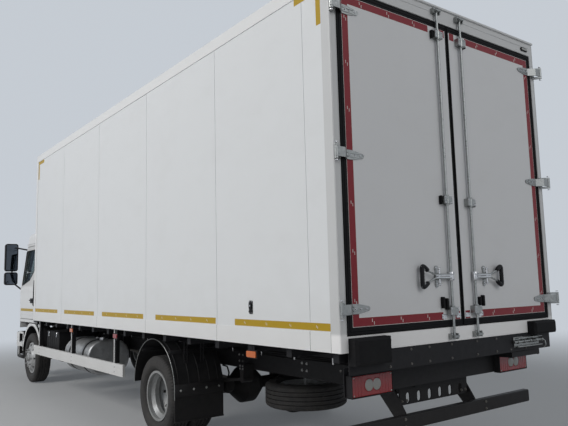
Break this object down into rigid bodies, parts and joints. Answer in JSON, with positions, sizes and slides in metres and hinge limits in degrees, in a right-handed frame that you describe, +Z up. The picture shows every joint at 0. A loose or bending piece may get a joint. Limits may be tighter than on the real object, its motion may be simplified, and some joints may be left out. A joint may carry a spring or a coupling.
{
  "type": "refrigerated truck",
  "caption": "Cab-over refrigerated truck with a white insulated box body, side guards, rear barn doors with lock rods, twin rear wheels and a cooling unit on the front wall.",
  "frame": {"origin": "on the ground, under the middle of the whole length", "axes": "+X forward, +Y to the vehicle's left, +Z up"},
  "size_m": [9.58, 2.7, 3.8099],
  "materials": {
    "white_panel": "smooth",
    "door_panel": "smooth",
    "rail_metal": "satin",
    "portal_metal": "satin",
    "galvanised": "dull",
    "chassis_black": "satin",
    "black_plastic": "matte",
    "black_rubber": "matte",
    "tyre": "matte",
    "rim_steel": "satin",
    "cast_metal": "rough",
    "tank_metal": "brushed",
    "cab_paint": "gloss",
    "guard_paint": "satin",
    "glass": "clear",
    "red_lens": "gloss",
    "clear_lens": "gloss",
    "seat_fabric": "woven",
    "unit_white": "smooth"
  },
  "bodies": {
    "chassis": {"chassis_frame": "chassis_black", "body_bearers": "chassis_black", "body_floor": "white_panel", "body_roof": "white_panel", "body_walls": "white_panel", "body_rails": "rail_metal", "rear_portal": "portal_metal", "dock_buffers": "black_rubber", "portal_ironwork": "galvanised", "tail_lamps": "red_lens", "underrun_bar": "chassis_black", "side_guards": "guard_paint", "axles": "chassis_black", "leaf_springs": "chassis_black", "engine_block": "cast_metal", "driveline": "cast_metal", "fuel_tank": "tank_metal", "air_tanks": "chassis_black", "battery_boxes": "black_plastic", "mudguards": "black_plastic", "spare_tyre": "tyre", "spare_rim": "rim_steel", "bumper": "black_plastic", "headlamps": "clear_lens", "cooling_unit": "unit_white"},
    "cab": {"cab_shell": "cab_paint", "windscreen": "glass", "seats": "seat_fabric", "dashboard": "black_plastic", "grille": "black_plastic", "mirrors": "black_plastic"},
    "left_cab_door": {"cab_left_door": "cab_paint", "left_door_glass": "glass"},
    "right_cab_door": {"cab_right_door": "cab_paint", "right_door_glass": "glass"},
    "left_rear_door": {"left_rear_door": "door_panel", "left_door_gasket": "black_rubber", "left_door_ironwork": "galvanised"},
    "right_rear_door": {"right_rear_door": "door_panel", "right_door_gasket": "black_rubber", "right_door_ironwork": "galvanised"},
    "left_knuckle": {"left_knuckle": "cast_metal"},
    "right_knuckle": {"right_knuckle": "cast_metal"},
    "front_left_wheel": {"front_left_tyre": "tyre", "front_left_rim": "rim_steel"},
    "front_right_wheel": {"front_right_tyre": "tyre", "front_right_rim": "rim_steel"},
    "rear_left_wheels": {"rear_left_tyres": "tyre", "rear_left_rims": "rim_steel"},
    "rear_right_wheels": {"rear_right_tyres": "tyre", "rear_right_rims": "rim_steel"}
  },
  "joints": [
    {"name": "left_steer", "type": "hinge", "parent": "chassis", "child": "left_knuckle", "pos_m": [3.59, 0.85, 0.419], "axis": [0, 0, 1], "range_deg": [-36, 36]},
    {"name": "right_steer", "type": "hinge", "parent": "chassis", "child": "right_knuckle", "pos_m": [3.59, -0.85, 0.419], "axis": [0, 0, 1], "range_deg": [-36, 36]},
    {"name": "front_left_spin", "type": "hinge", "parent": "left_knuckle", "child": "front_left_wheel", "pos_m": [3.59, 0.985, 0.419], "axis": [0, 1, 0], "continuous": true},
    {"name": "front_right_spin", "type": "hinge", "parent": "right_knuckle", "child": "front_right_wheel", "pos_m": [3.59, -0.985, 0.419], "axis": [0, 1, 0], "continuous": true},
    {"name": "rear_left_spin", "type": "hinge", "parent": "chassis", "child": "rear_left_wheels", "pos_m": [-1.56, 0.888, 0.419], "axis": [0, 1, 0], "continuous": true},
    {"name": "rear_right_spin", "type": "hinge", "parent": "chassis", "child": "rear_right_wheels", "pos_m": [-1.56, -0.888, 0.419], "axis": [0, 1, 0], "continuous": true},
    {"name": "left_rear_door_hinge", "type": "hinge", "parent": "chassis", "child": "left_rear_door", "pos_m": [-4.762, 1.325, 2.445], "axis": [0, 0, -1], "range_deg": [0, 270]},
    {"name": "right_rear_door_hinge", "type": "hinge", "parent": "chassis", "child": "right_rear_door", "pos_m": [-4.762, -1.325, 2.445], "axis": [0, 0, 1], "range_deg": [0, 270]},
    {"name": "cab_tilt", "type": "hinge", "parent": "chassis", "child": "cab", "pos_m": [4.69, 0, 0.86], "axis": [0, 1, 0], "range_deg": [0, 50]},
    {"name": "left_cab_door_hinge", "type": "hinge", "parent": "cab", "child": "left_cab_door", "pos_m": [4.536, 1.064, 1.6], "axis": [0, 0, -1], "range_deg": [0, 70]},
    {"name": "right_cab_door_hinge", "type": "hinge", "parent": "cab", "child": "right_cab_door", "pos_m": [4.536, -1.064, 1.6], "axis": [0, 0, 1], "range_deg": [0, 70]}
  ],
  "couplings": [
    {"joint": "right_steer", "follows": "left_steer", "ratio": 1}
  ]
}
